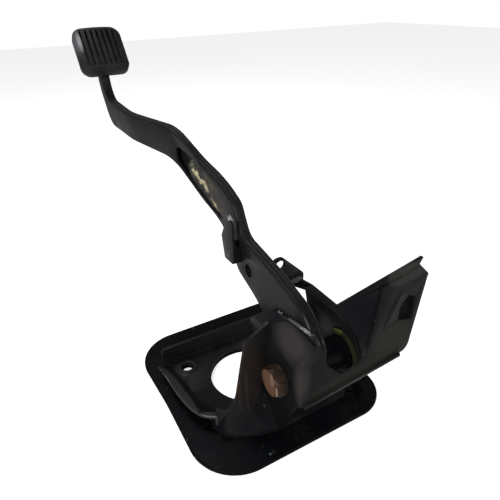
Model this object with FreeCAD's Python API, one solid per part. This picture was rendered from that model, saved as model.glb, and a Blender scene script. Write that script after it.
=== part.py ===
import FreeCAD, Part
import math
import os

# Hanging brake pedal on its bulkhead bracket. Millimetres, +Z away from the bulkhead.
# The origin is the middle of the servo opening on the underside of the base plate.
# +X runs along the pivot bolt from its head to its nut, and +Y from the bracket to the pad.

V = FreeCAD.Vector

# Base plate
PLATE_LEFT = -67.0
PLATE_RIGHT = 79.0
PLATE_FRONT = -73.0
PLATE_BACK = 75.0
PLATE_THICKNESS = 3.0
PLATE_CORNER = 30.0
PLATE_EDGE_BREAK = 0.8
SERVO_OPENING_RADIUS = 28.0
STUD_HOLE_RADIUS = 4.5
STUD_SPACING = 76.0
STUD_Y = 28.0
RECESS_CENTRE = (62.0, -55.0)
RECESS_LENGTH = 13.0
RECESS_WIDTH = 7.0
RECESS_DEPTH = 1.5

# Pressed bracket
SHEET = 2.5
TRAY_LEFT = -50.0
TRAY_RIGHT = 54.0
TRAY_BACK = 43.0
TRAY_FRONT = -56.0
WALL_HEIGHT = 13.5
LIP_RISE = 8.5
STUD_RING_RADIUS = 7.5
STUD_RING_HEIGHT = 0.8
FLANGE_Y = -37.0
CHEEK_NEAR_X = -6.0
CHEEK_BEND_Z = 73.0
CHEEK_TOP_Z = 86.0
CHEEK_LEAN = 8.0
CHEEK_FRONT = -74.5
CHEEK_CREST = 2.0
CHEEK_BEND_STEP = 1.0
CHEEK_BEND_ROUND = 8.0
CHEEK_TOP_ROUND = 5.0
FOLD_ROUND = 3.0
DOUBLER_BOTTOM_Z = 36.0
DOUBLER_TOP_RISE = 6.0

# Far cheek and wing panel
HUB_SPACE = 43.0
FAR_TOP_Z = 76.0
FAR_BACK_Y = -2.5
FAR_FLANGE_WIDTH = 4.7
WING_SHEET = 2.5
WING_LIP = 2.5
WING_LIP_START = -3.5
WING_LIP_SETBACK = 8.0
WING_LEFT_Z = 44.0
WING_RIGHT_X = 79.0
WING_RIGHT_Z = 52.0
WING_END_X = 86.0
WING_END_Z = 109.0
WING_TOP_LEFT_Z = 110.0
WING_TOP_RIGHT_Z = 121.5
WING_PRESSING = 1.6
WINDOW_CAP_BORDER = 3.0

# Switch tab on the far cheek's flange
TAB_FACE_Y = -5.0
TAB_HOLE = (26.2, 95.3)
TAB_HOLE_RADIUS = 3.5

# Pivot
PIVOT_Y = -57.0
PIVOT_Z = 52.0
BOLT_RADIUS = 6.0
BOLT_HOLE_CLEARANCE = 0.25
HEAD_FLATS = 18.0
HEAD_HEIGHT = 6.5
WASHER_RADIUS = 10.0
WASHER_THICKNESS = 2.0
NUT_HEIGHT = 9.0
BOLT_TAIL = 3.0
SLEEVE_WALL = 2.0
SLEEVE_BOLT_CLEARANCE = 0.1
BUSH_RUNNING_CLEARANCE = 0.05
BUSH_WALL = 1.8
BUSH_LENGTH = 13.0
BUSH_FLANGE = 1.4
BUSH_FLANGE_RADIUS = 15.5
HUB_WALL = 2.6
HUB_END_PLAY = 0.5
BUSH_PRESS = 0.02

# Pedal arm
ARM_NEAR_X = 8.0
ARM_THICKNESS = 8.0
ARM_SHEET = 2.0
ARM_END_ROUND = 16.5
EYE_CORNERS = 3
ARM_EDGE_BREAK = 1.3
JOG_START = 52.0
JOG_END = 168.0
JOG_OFFSET = 29.0
JOG_RADIUS = 110.0
CLEVIS_Y = 8.0
CLEVIS_Z = 90.0
CLEVIS_BORE = 5.0
CLEVIS_WALL = 1.5
WELD_GAP = 0.05
HOOK_OUTER_X = 0.5
HOOK_WALL = 2.0
HOOK_BLOCK_TOP = 103.0

# Pad and foot plate
PAD_WIDTH = 45.0
PAD_LENGTH = 45.5
PAD_CORNER = 9.0
PAD_THICKNESS = 8.5
PAD_CROWN_RADIUS = 120.0
PAD_X = -15.5
PAD_EDGE_BREAK = 2.0
PAD_TILT = 51.7
PAD_Y = 245.1
PAD_Z = 215.7
PAD_RIBS = 8
RIB_PITCH = 5.0
GROOVE_WIDTH = 1.6
GROOVE_DEPTH = 1.6
GROOVE_BOTTOM = -17.0
GROOVE_TOP = 18.5
FOOT_PLATE_THICKNESS = 2.5
FOOT_PLATE_BORDER = 3.0
PAD_COVER = 4.2
PAD_POCKET_CLEARANCE = 0.3
PAD_LIP = 7.5

# Worked out from the sizes above
FLOOR_TOP = PLATE_THICKNESS + SHEET
CHEEK_INNER_X = CHEEK_NEAR_X + SHEET
HUB_NEAR_X = CHEEK_INNER_X + SHEET
HUB_FAR_X = HUB_NEAR_X + HUB_SPACE
FAR_OUTER_X = HUB_FAR_X + SHEET
WING_INNER_Y = CHEEK_FRONT
WING_OUTER_Y = WING_INNER_Y - WING_SHEET
SLEEVE_BORE = BOLT_RADIUS + SLEEVE_BOLT_CLEARANCE
SLEEVE_RADIUS = SLEEVE_BORE + SLEEVE_WALL
BUSH_BORE = SLEEVE_RADIUS + BUSH_RUNNING_CLEARANCE
BUSH_RADIUS = BUSH_BORE + BUSH_WALL
HUB_BORE = BUSH_RADIUS + BUSH_PRESS
HUB_RADIUS = HUB_BORE + HUB_WALL
ARM_MID = ARM_THICKNESS / 2.0
FOOT_PLATE_BACK = PAD_COVER + FOOT_PLATE_THICKNESS + PAD_POCKET_CLEARANCE / 2.0
FAR_AWAY = 400.0
SIDE_SHARE = 0.49


def on_xy(height):
    """Places outline points on a level plane."""
    return lambda u, v: V(u, v, height)


def on_xz(y):
    """Places outline points on an upright plane along the pivot bolt."""
    return lambda u, v: V(u, y, v)


def on_yz(x):
    """Places outline points on an upright plane across the pivot bolt."""
    return lambda u, v: V(x, u, v)


def corner_points(before, corner, after):
    """Start, middle and end of the arc that rounds one corner, limited by the sides beside it."""
    to_before = math.dist(before[:2], corner[:2])
    to_after = math.dist(after[:2], corner[:2])
    a = ((before[0] - corner[0]) / to_before, (before[1] - corner[1]) / to_before)
    b = ((after[0] - corner[0]) / to_after, (after[1] - corner[1]) / to_after)
    half = math.acos(max(-1.0, min(1.0, a[0] * b[0] + a[1] * b[1]))) / 2.0
    reach = min(corner[2] / math.tan(half), SIDE_SHARE * min(to_before, to_after))
    radius = reach * math.tan(half)
    bisector = (a[0] + b[0], a[1] + b[1])
    size = math.hypot(*bisector)
    depth = radius / math.sin(half) - radius
    start = (corner[0] + a[0] * reach, corner[1] + a[1] * reach)
    middle = (corner[0] + bisector[0] / size * depth, corner[1] + bisector[1] / size * depth)
    end = (corner[0] + b[0] * reach, corner[1] + b[1] * reach)
    return start, middle, end


def rounded_wire(corners, place):
    """Closed wire through corners (u, v, radius), on the plane that place gives."""
    stretches = []
    for index, corner in enumerate(corners):
        before = corners[index - 1]
        after = corners[(index + 1) % len(corners)]
        if corner[2] > 0:
            stretches.append(corner_points(before, corner, after))
        else:
            stretches.append((corner[:2],) * 3)
    edges = []
    for index, (start, middle, end) in enumerate(stretches):
        if corners[index][2] > 0:
            edges.append(Part.Arc(place(*start), place(*middle), place(*end)).toShape())
        following = stretches[(index + 1) % len(stretches)][0]
        if math.dist(end, following) > 1e-6:
            edges.append(Part.LineSegment(place(*end), place(*following)).toShape())
    return Part.Wire(edges)


def slab(corners, place, push):
    """Solid made by pushing a rounded outline along a vector."""
    return Part.Face(rounded_wire(corners, place)).extrude(push)


def cylinder_x(radius, x_start, x_end, y=PIVOT_Y, z=PIVOT_Z):
    """Round bar along +X."""
    return Part.makeCylinder(radius, x_end - x_start, V(x_start, y, z), V(1, 0, 0))


def cylinder_z(radius, z_start, z_end, x=0.0, y=0.0):
    """Round bar along +Z."""
    return Part.makeCylinder(radius, z_end - z_start, V(x, y, z_start), V(0, 0, 1))


def hexagon_x(flats, x_start, x_end, y, z, turn=0.0):
    """Six-sided bar along +X."""
    radius = flats / math.sqrt(3.0)
    points = []
    for step in range(7):
        angle = math.radians(60.0 * step + turn)
        points.append(V(x_start, y + radius * math.cos(angle), z + radius * math.sin(angle)))
    return Part.Face(Part.makePolygon(points)).extrude(V(x_end - x_start, 0, 0))


def curve(points):
    """Smooth edge through the points."""
    line = Part.BSplineCurve()
    line.interpolate([V(*point) for point in points])
    return line.toShape()


def ruled_sheet(first, second, thickness):
    """Sheet stretched between two smooth curves, thickened upwards."""
    return Part.makeRuledSurface(curve(first), curve(second)).extrude(V(0, 0, thickness))


def clean(shape):
    """The shape without leftover seams, as one solid where it is one."""
    tidy = shape.removeSplitter()
    if len(tidy.Solids) == 1:
        return tidy.Solids[0]
    return tidy


def stud_holes(z_start, z_end):
    """The two stud holes as bars to cut."""
    bars = [cylinder_z(STUD_HOLE_RADIUS, z_start, z_end, side * STUD_SPACING / 2.0, STUD_Y)
            for side in (-1, 1)]
    return bars[0].fuse(bars[1])


def corner_recess():
    """Slanted rounded recess near the right front corner of the base plate."""
    half_length, half_width = RECESS_LENGTH / 2.0, RECESS_WIDTH / 2.0
    corners = [(-half_length, -half_width, 1.5), (half_length * 0.5, -half_width, 1.0),
               (half_length, half_width * 0.2, 1.0), (half_length * 0.8, half_width, 1.0),
               (-half_length * 0.6, half_width, 1.5)]
    recess = slab(corners, on_xy(PLATE_THICKNESS - RECESS_DEPTH), V(0, 0, PLATE_THICKNESS))
    recess.rotate(V(0, 0, 0), V(0, 0, 1), 25.0)
    recess.translate(V(RECESS_CENTRE[0], RECESS_CENTRE[1], 0))
    return recess


def make_base_plate():
    """Flat plate with large round corners, a waisted left edge and the servo opening."""
    waist = PLATE_LEFT + 3.0
    corners = [(PLATE_LEFT - 1.0, PLATE_BACK, PLATE_CORNER), (waist, 5.0, 200.0),
               (PLATE_LEFT + 3.5, PLATE_FRONT, PLATE_CORNER + 4.0),
               (PLATE_RIGHT, PLATE_FRONT, PLATE_CORNER - 4.0), (PLATE_RIGHT, PLATE_BACK, PLATE_CORNER)]
    plate = slab(corners, on_xy(0.0), V(0, 0, PLATE_THICKNESS))
    rim = [edge for edge in plate.Edges if abs(edge.CenterOfMass.z - PLATE_THICKNESS) < 1e-6]
    plate = plate.makeChamfer(PLATE_EDGE_BREAK, rim)
    plate = plate.cut(cylinder_z(SERVO_OPENING_RADIUS, -1.0, PLATE_THICKNESS + 1.0))
    plate = plate.cut(stud_holes(-1.0, PLATE_THICKNESS + 1.0))
    return clean(plate.cut(corner_recess()))


def tray_floor():
    """Floor of the pressing, which reaches forward as the foot of the walls."""
    corners = [(TRAY_LEFT - 3.0, TRAY_BACK, 3.0), (TRAY_LEFT, 36.0, 4.0), (-42.5, -8.0, 20.0),
               (-43.5, -36.0, 14.0), (-22.0, TRAY_FRONT + 3.0, 20.0), (-10.0, TRAY_FRONT, 12.0),
               (TRAY_RIGHT, TRAY_FRONT, 8.0), (TRAY_RIGHT, TRAY_BACK, 3.0)]
    floor = slab(corners, on_xy(PLATE_THICKNESS), V(0, 0, SHEET))
    for side in (-1, 1):
        ring = cylinder_z(STUD_RING_RADIUS, FLOOR_TOP, FLOOR_TOP + STUD_RING_HEIGHT,
                          side * STUD_SPACING / 2.0, STUD_Y)
        floor = floor.fuse(ring)
    floor = floor.cut(stud_holes(0.0, FLOOR_TOP + STUD_RING_HEIGHT + 1.0))
    return floor.cut(cylinder_z(SERVO_OPENING_RADIUS, 0.0, FLOOR_TOP + 1.0))


def tray_walls():
    """Upright wall at the back and the slanted lip on the left."""
    wall_corners = [(TRAY_LEFT - 3.0, PLATE_THICKNESS, 0.0), (TRAY_RIGHT, PLATE_THICKNESS, 0.0),
                    (TRAY_RIGHT - 6.0, FLOOR_TOP + WALL_HEIGHT, 5.0),
                    (TRAY_LEFT - 3.0, FLOOR_TOP + WALL_HEIGHT, 3.0)]
    wall = slab(wall_corners, on_xz(TRAY_BACK), V(0, -SHEET, 0))
    fold = [(-49.0, 32.0), (-46.0, 12.0), (-42.0, -8.0), (-38.5, -18.0), (-31.0, -24.0)]
    outer = [(-59.5, 31.0), (-57.5, 8.0), (-55.0, -12.0), (-50.5, -25.0), (-39.0, -34.0)]
    lip = ruled_sheet([(x, y, PLATE_THICKNESS) for x, y in fold],
                      [(x, y, PLATE_THICKNESS + LIP_RISE) for x, y in outer], SHEET)
    return wall.fuse(lip)


def tray_flange():
    """Upright flange behind the near cheek, with its flared foot."""
    corners = [(CHEEK_INNER_X, FLOOR_TOP - 1.0, 0.0), (-40.0, FLOOR_TOP - 1.0, 0.0), (-43.0, 14.0, 3.0),
               (-29.0, 27.0, 14.0), (-24.5, 52.0, 40.0), (-20.5, 73.0, 6.0), (CHEEK_INNER_X, 82.0, 0.0)]
    flange = slab(corners, on_xz(FLANGE_Y), V(0, -SHEET, 0))
    top = [(-41.0, -33.0), (-35.0, -38.5), (-22.0, -39.0), (CHEEK_NEAR_X, -39.0)]
    seam = [(-43.0, -34.0), (-37.0, -45.0), (-24.0, -51.5), (CHEEK_NEAR_X, -55.8)]
    flare = ruled_sheet([(x, y, 20.0) for x, y in top],
                        [(x, y, PLATE_THICKNESS) for x, y in seam], SHEET)
    return flange.fuse(flare)


def cheek_profile(x_face, z_bottom, z_bend, z_top, lean, z_lip):
    """Section of a cheek sheet across the bracket, upright and then leaning to the arm."""
    top_x = x_face + lean
    outline = [(x_face, z_bottom, 0.0), (x_face, z_bend, CHEEK_BEND_ROUND),
               (top_x, z_top, CHEEK_TOP_ROUND), (top_x, z_lip, 0.0), (top_x + SHEET, z_lip, 0.0),
               (top_x + SHEET, z_top - CHEEK_BEND_STEP, CHEEK_TOP_ROUND),
               (x_face + SHEET, z_bend - CHEEK_BEND_STEP, CHEEK_BEND_ROUND),
               (x_face + SHEET, z_bottom, 0.0)]
    return outline


def near_cheek():
    """Cheek under the bolt head: upright below, leaning over to the arm above."""
    start = FLANGE_Y - SHEET
    crest = CHEEK_TOP_Z + CHEEK_CREST
    section = cheek_profile(CHEEK_NEAR_X, FLOOR_TOP, CHEEK_BEND_Z, CHEEK_TOP_Z, CHEEK_LEAN, crest)
    sheet = slab(section, on_xz(start), V(0, WING_OUTER_Y - start, 0))
    side = [(start, 0.0, 0.0), (start, 80.0, 0.0), (-47.0, CHEEK_TOP_Z, 6.0), (-56.0, crest, 0.0),
            (WING_OUTER_Y, crest, 0.0), (WING_OUTER_Y, WING_LEFT_Z, 0.0), (CHEEK_FRONT, WING_LEFT_Z, 0.0),
            (-54.0, 0.0, 10.0)]
    sheet = sheet.common(slab(side, on_yz(-30.0), V(60.0, 0, 0)))
    return sheet.cut(cylinder_x(BOLT_RADIUS + BOLT_HOLE_CLEARANCE, CHEEK_NEAR_X - 1.0, CHEEK_INNER_X + 1.0))


def make_mounting_bracket():
    """Tray, lip and flange with its flared foot, pressed from one sheet."""
    return clean(tray_floor().fuse(tray_walls()).fuse(tray_flange()))


def make_cheek_doubler():
    """Second sheet inside the near cheek, with its upper edge standing proud."""
    section = cheek_profile(CHEEK_INNER_X, DOUBLER_BOTTOM_Z, CHEEK_BEND_Z - CHEEK_BEND_STEP,
                            CHEEK_TOP_Z - CHEEK_BEND_STEP, CHEEK_LEAN, CHEEK_TOP_Z + DOUBLER_TOP_RISE)
    sheet = slab(section, on_xz(0.0), V(0, CHEEK_FRONT, 0))
    top = CHEEK_TOP_Z + DOUBLER_TOP_RISE
    side = [(-12.0, 66.0, 4.0), (-31.0, top - 8.0, 8.0), (CHEEK_FRONT, top, 2.0),
            (CHEEK_FRONT, 44.0, 4.0), (-52.0, DOUBLER_BOTTOM_Z, 6.0), (-40.0, DOUBLER_BOTTOM_Z, 6.0)]
    sheet = sheet.common(slab(side, on_yz(-30.0), V(60.0, 0, 0)))
    hole = cylinder_x(BOLT_RADIUS + BOLT_HOLE_CLEARANCE, CHEEK_INNER_X - 1.0, HUB_NEAR_X + 1.0)
    return clean(sheet.cut(hole))


def switch_tab():
    """Upright tab for the stop-lamp switch, folded up from the end of the flange."""
    corners = [(35.0, FAR_TOP_Z - SHEET, 0.0), (46.0, FAR_TOP_Z - SHEET, 0.0), (46.2, 83.0, 4.0),
               (30.8, 98.5, 3.0), (28.0, 101.0, 3.0), (21.0, 101.0, 4.0), (21.0, 90.0, 6.0),
               (35.0, 79.0, 4.0)]
    tab = slab(corners, on_xz(TAB_FACE_Y), V(0, SHEET, 0))
    hole = Part.makeCylinder(TAB_HOLE_RADIUS, SHEET + 2.0, V(TAB_HOLE[0], TAB_FACE_Y - 1.0, TAB_HOLE[1]),
                             V(0, 1, 0))
    return tab.cut(hole)


def make_far_cheek():
    """Cheek under the nut, with a foot on the tray, a flange along its top and the switch tab."""
    side = [(CHEEK_FRONT, 40.0, 4.0), (CHEEK_FRONT, FAR_TOP_Z, 0.0), (-12.0, FAR_TOP_Z, 3.0),
            (-17.0, 60.0, 20.0), (-16.0, 30.0, 20.0), (-20.0, FLOOR_TOP, 0.0), (-50.0, FLOOR_TOP, 0.0),
            (-58.0, 26.0, 10.0)]
    cheek = slab(side, on_yz(HUB_FAR_X), V(SHEET, 0, 0))
    flange_end = FAR_OUTER_X + FAR_FLANGE_WIDTH
    flange_corners = [(HUB_FAR_X - 5.0, FAR_BACK_Y, 2.0), (flange_end - 2.0, FAR_BACK_Y, 3.0),
                      (flange_end, -12.0, 4.0), (flange_end, -60.0, 4.0), (HUB_FAR_X, -66.0, 0.0),
                      (HUB_FAR_X, -12.0, 3.0)]
    flange = slab(flange_corners, on_xy(FAR_TOP_Z - SHEET), V(0, 0, SHEET))
    foot_corners = [(HUB_FAR_X, -20.0, 0.0), (TRAY_RIGHT, -22.0, 3.0), (TRAY_RIGHT, -48.0, 3.0),
                    (HUB_FAR_X, -50.0, 0.0)]
    foot = slab(foot_corners, on_xy(FLOOR_TOP), V(0, 0, SHEET))
    hole = cylinder_x(BOLT_RADIUS + BOLT_HOLE_CLEARANCE, HUB_FAR_X - 1.0, FAR_OUTER_X + 1.0)
    return clean(cheek.fuse(flange).fuse(foot).fuse(switch_tab()).cut(hole))


def wing_outline():
    """Outline of the wing: web beside the cheek, saddle over the hub and the tall right side."""
    lean_x = CHEEK_NEAR_X + CHEEK_LEAN
    return [(CHEEK_NEAR_X, WING_LEFT_Z, 0.0), (WING_RIGHT_X, WING_RIGHT_Z, 7.0),
            (WING_END_X, WING_END_Z, 0.8), (76.5, 118.5, 0.8), (79.0, 122.5, 0.0), (74.5, WING_TOP_RIGHT_Z, 2.0),
            (16.6, WING_TOP_LEFT_Z, 1.0), (33.5, 82.5, 10.0), (40.0, 66.0, 10.0), (36.5, 56.0, 6.0),
            (25.0, 56.0, 8.0), (13.5, 69.0, 8.0), (5.5, CHEEK_TOP_Z + CHEEK_CREST, 3.0),
            (lean_x, CHEEK_TOP_Z + CHEEK_CREST, 0.0), (lean_x, CHEEK_TOP_Z, CHEEK_TOP_ROUND),
            (CHEEK_NEAR_X, CHEEK_BEND_Z, CHEEK_BEND_ROUND)]


def wing_lip():
    """Stiffening lip that stands out along the lower edge of the wing."""
    slope = (WING_RIGHT_Z - WING_LEFT_Z) / (WING_RIGHT_X - CHEEK_NEAR_X)
    end = WING_RIGHT_X - WING_LIP_SETBACK
    start_z = WING_LEFT_Z + slope * (WING_LIP_START - CHEEK_NEAR_X)
    end_z = WING_LEFT_Z + slope * (end - CHEEK_NEAR_X)
    corners = [(WING_LIP_START, start_z, 0.0), (end, end_z, 0.0), (end, end_z + WING_SHEET, 0.0),
               (WING_LIP_START, start_z + WING_SHEET, 0.0)]
    return slab(corners, on_xz(WING_INNER_Y), V(0, -WING_SHEET - WING_LIP, 0))


def fold_edges(panel):
    """Outer edges of the fold between the near cheek and the wing."""
    found = []
    for edge in panel.Edges:
        centre = edge.CenterOfMass
        on_front = abs(edge.BoundBox.YMin - WING_OUTER_Y) < 1e-6 and edge.BoundBox.YLength < 1e-6
        on_fold = centre.x < CHEEK_NEAR_X + CHEEK_LEAN * 0.9 and edge.BoundBox.ZLength > 1.0
        if on_front and on_fold and centre.z < CHEEK_TOP_Z:
            found.append(edge)
    return found


def wing_window(border, y_start, y_end):
    """Six-sided window of the wing as a bar, or with a border the cap welded behind it."""
    wire = rounded_wire([(66.0, 82.0, 1.0), (70.5, 79.3, 1.0), (78.6, 78.0, 1.0), (78.0, 95.0, 1.0),
                         (71.5, 98.0, 1.0), (66.2, 91.5, 1.0)], on_xz(y_start))
    if border > 0.0:
        wire = wire.makeOffset2D(border)
    return Part.Face(wire).extrude(V(0, y_end - y_start, 0))


def make_side_panel():
    """Near cheek and wing, folded from one sheet, with a lip, a raised band and a capped window."""
    wing = slab(wing_outline(), on_xz(WING_INNER_Y), V(0, -WING_SHEET, 0))
    panel = clean(near_cheek().fuse(wing))
    panel = panel.makeFillet(FOLD_ROUND, fold_edges(panel))
    panel = panel.fuse(wing_lip())
    band = [(48.0, 113.0, 2.0), (63.0, 115.0, 2.0), (66.0, 105.0, 4.0), (50.0, 78.0, 10.0),
            (45.0, 66.0, 3.0), (42.0, 70.0, 3.0), (45.0, 90.0, 10.0)]
    panel = panel.fuse(slab(band, on_xz(WING_OUTER_Y), V(0, -WING_PRESSING, 0)))
    panel = panel.cut(slab(band, on_xz(WING_INNER_Y), V(0, -WING_PRESSING, 0)))
    panel = panel.cut(wing_window(0.0, WING_INNER_Y + 1.0, WING_OUTER_Y - 1.0))
    return clean(panel.fuse(wing_window(WINDOW_CAP_BORDER, WING_INNER_Y + SHEET, WING_INNER_Y)))


def make_pivot_bolt():
    """Hexagon bolt with a chamfered head, a washer face and a plain shank."""
    head_start = CHEEK_NEAR_X - WASHER_THICKNESS - HEAD_HEIGHT
    head = hexagon_x(HEAD_FLATS, head_start, head_start + HEAD_HEIGHT, PIVOT_Y, PIVOT_Z, 30.0)
    corner_radius = HEAD_FLATS / math.sqrt(3.0)
    cone = Part.makeCone(HEAD_FLATS / 2.0 * 0.97, corner_radius * 1.55, HEAD_HEIGHT * 1.9,
                         V(head_start, PIVOT_Y, PIVOT_Z), V(1, 0, 0))
    head = head.common(cone)
    tail_end = FAR_OUTER_X + WASHER_THICKNESS + NUT_HEIGHT + BOLT_TAIL
    shank = cylinder_x(BOLT_RADIUS, head_start + HEAD_HEIGHT - 0.5, tail_end)
    end_edges = [edge for edge in shank.Edges if abs(edge.CenterOfMass.x - tail_end) < 1e-6]
    shank = shank.makeChamfer(1.0, end_edges)
    return clean(head.fuse(shank))


def make_washer(x_start):
    """Plain washer on the bolt."""
    ring = cylinder_x(WASHER_RADIUS, x_start, x_start + WASHER_THICKNESS)
    hole = cylinder_x(BOLT_RADIUS + BOLT_HOLE_CLEARANCE, x_start - 1.0, x_start + WASHER_THICKNESS + 1.0)
    return ring.cut(hole)


def make_pivot_nut():
    """Hexagon nut on the far side."""
    start = FAR_OUTER_X + WASHER_THICKNESS
    nut = hexagon_x(HEAD_FLATS, start, start + NUT_HEIGHT, PIVOT_Y, PIVOT_Z, 12.0)
    return nut.cut(cylinder_x(BOLT_RADIUS, start - 1.0, start + NUT_HEIGHT + 1.0))


def make_spacer_sleeve():
    """Steel sleeve that the cheeks clamp, on which the hub turns."""
    tube = cylinder_x(SLEEVE_RADIUS, HUB_NEAR_X, HUB_FAR_X)
    return tube.cut(cylinder_x(SLEEVE_BORE, HUB_NEAR_X - 1.0, HUB_FAR_X + 1.0))


def hub_ends():
    """Near and far end of the hub tube."""
    return HUB_NEAR_X + HUB_END_PLAY + BUSH_FLANGE, HUB_FAR_X - HUB_END_PLAY - BUSH_FLANGE


def make_hub_tube():
    """Tube through the arm that carries the bushes."""
    start, end = hub_ends()
    return cylinder_x(HUB_RADIUS, start, end).cut(cylinder_x(HUB_BORE, start - 1.0, end + 1.0))


def make_bush(mouth, inward):
    """Flanged bush, its flange against one end of the hub tube."""
    flange = cylinder_x(BUSH_FLANGE_RADIUS, min(mouth, mouth - inward * BUSH_FLANGE),
                        max(mouth, mouth - inward * BUSH_FLANGE))
    barrel_end = mouth + inward * BUSH_LENGTH
    barrel = cylinder_x(BUSH_RADIUS, min(mouth, barrel_end), max(mouth, barrel_end))
    bore = cylinder_x(BUSH_BORE, HUB_NEAR_X - 5.0, HUB_FAR_X + 5.0)
    return clean(flange.fuse(barrel).cut(bore))


def foot_point(along, behind):
    """Side view point on the pad's own axes: along its length, and behind its face."""
    tilt = math.radians(PAD_TILT)
    y = PAD_Y + along * math.cos(tilt) + behind * math.sin(tilt)
    z = PAD_Z + along * math.sin(tilt) - behind * math.cos(tilt)
    return y, z


def eye_corners(first_bend):
    """Corners of the arm's eye, round about the pivot, down to the line that runs to the first bend."""
    away = math.dist(first_bend, (PIVOT_Y, PIVOT_Z))
    bearing = math.atan2(first_bend[1] - PIVOT_Z, first_bend[0] - PIVOT_Y)
    last = bearing - math.acos(ARM_END_ROUND / away) + 2.0 * math.pi
    step = (last - math.pi) / EYE_CORNERS
    reach = ARM_END_ROUND / math.cos(step / 2.0)
    corners = []
    for index in range(EYE_CORNERS):
        angle = math.pi + step * (index + 0.5)
        corners.append((PIVOT_Y + reach * math.cos(angle), PIVOT_Z + reach * math.sin(angle), ARM_END_ROUND))
    return corners


def arm_outline():
    """Side view of the arm, from the eye round the pivot to the back of the foot plate."""
    low_end = foot_point(14.0, FOOT_PLATE_BACK)
    high_end = foot_point(-13.0, FOOT_PLATE_BACK)
    behind = PIVOT_Y - ARM_END_ROUND
    lower = [(-4.0, 71.0, 60.0), (24.0, 81.0, 14.0), (46.0, 108.0, 14.0), (70.0, 121.0, 60.0),
             (104.0, 146.0, 50.0), (180.0, 150.0, 80.0)]
    return eye_corners(lower[0][:2]) + lower + [
            (232.0, 148.5, 30.0), (257.0, 182.0, 40.0), (low_end[0], low_end[1], 0.0),
            (high_end[0], high_end[1], 0.0), (236.0, 173.0, 24.0), (178.0, 171.5, 80.0),
            (105.0, 171.0, 40.0), (73.5, 152.6, 60.0), (28.0, 133.5, 12.0), (16.5, 112.4, 12.0),
            (-24.5, 106.0, 80.0), (-56.0, 97.5, 30.0), (behind, 80.0, 14.0)]


def jog_slab(near_offset, far_offset):
    """Upright slab that follows the arm's sideways jog between two faces of the arm."""
    near = ARM_NEAR_X + near_offset
    far = ARM_NEAR_X + far_offset
    corners = [(near, -FAR_AWAY, 0.0), (near, JOG_START, JOG_RADIUS),
               (near - JOG_OFFSET, JOG_END, JOG_RADIUS), (near - JOG_OFFSET, FAR_AWAY, 0.0),
               (far - JOG_OFFSET, FAR_AWAY, 0.0), (far - JOG_OFFSET, JOG_END, JOG_RADIUS),
               (far, JOG_START, JOG_RADIUS), (far, -FAR_AWAY, 0.0)]
    return slab(corners, on_xy(0.0), V(0, 0, FAR_AWAY))


def side_faces(solid, direction):
    """Faces of an arm half that look to one side."""
    found = []
    for face in solid.Faces:
        u_low, u_high, v_low, v_high = face.ParameterRange
        normal = face.normalAt((u_low + u_high) / 2.0, (v_low + v_high) / 2.0)
        if normal.x * direction > 0.5:
            found.append(face)
    return found


def outer_rim(solid, direction):
    """Edges round the outer side of an arm half."""
    uses = {}
    for face in side_faces(solid, direction):
        for edge in face.Edges:
            uses.setdefault(edge.hashCode(), []).append(edge)
    return [edges[0] for edges in uses.values() if len(edges) == 1]


def arm_half(outer_face, middle, direction):
    """Pressed half of the hollow arm between its outer face and the seam."""
    wire = rounded_wire(arm_outline(), on_yz(-60.0))
    block = Part.Face(wire).extrude(V(120.0, 0, 0))
    inner = Part.Face(wire.makeOffset2D(-ARM_SHEET)).extrude(V(120.0, 0, 0))
    low, high = sorted((outer_face, middle))
    half = block.common(jog_slab(low, high))
    rim = [edge for edge in outer_rim(half, direction) if edge.CenterOfMass.y < PAD_Y + 3.0]
    half = half.makeChamfer(ARM_EDGE_BREAK, rim)
    floor = outer_face - direction * ARM_SHEET
    seam = middle - direction
    low, high = sorted((floor, seam))
    hollow = inner.common(jog_slab(low, high))
    return half.cut(hollow)


def arm_bores():
    """Holes through both halves for the hub tube and the clevis sleeve."""
    hub = cylinder_x(HUB_RADIUS + WELD_GAP, -60.0, 60.0)
    clevis = cylinder_x(CLEVIS_BORE + CLEVIS_WALL + WELD_GAP, -60.0, 60.0, CLEVIS_Y, CLEVIS_Z)
    return hub.fuse(clevis)


def arm_window():
    """Opening in the near half, along the middle of the arm."""
    corners = [(47.0, 114.5, 3.0), (60.0, 118.5, 8.0), (84.0, 135.0, 20.0), (99.0, 147.0, 5.0),
               (99.0, 159.0, 5.0), (84.0, 154.5, 20.0), (68.0, 146.5, 20.0), (48.0, 134.0, 10.0),
               (42.0, 122.0, 6.0)]
    return slab(corners, on_yz(-60.0), V(60.0 + ARM_NEAR_X + ARM_MID, 0, 0))


def make_arm_near_shell():
    """Near half of the arm, with the long opening."""
    shell = arm_half(0.0, ARM_MID, -1.0)
    return clean(shell.cut(arm_bores()).cut(arm_window()))


def make_arm_far_shell():
    """Far half of the arm."""
    return clean(arm_half(ARM_THICKNESS, ARM_MID, 1.0).cut(arm_bores()))


def make_clevis_sleeve():
    """Sleeve through the arm for the push-rod pin."""
    start = ARM_NEAR_X
    end = ARM_NEAR_X + ARM_THICKNESS
    tube = cylinder_x(CLEVIS_BORE + CLEVIS_WALL, start, end, CLEVIS_Y, CLEVIS_Z)
    return tube.cut(cylinder_x(CLEVIS_BORE, start - 1.0, end + 1.0, CLEVIS_Y, CLEVIS_Z))


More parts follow.
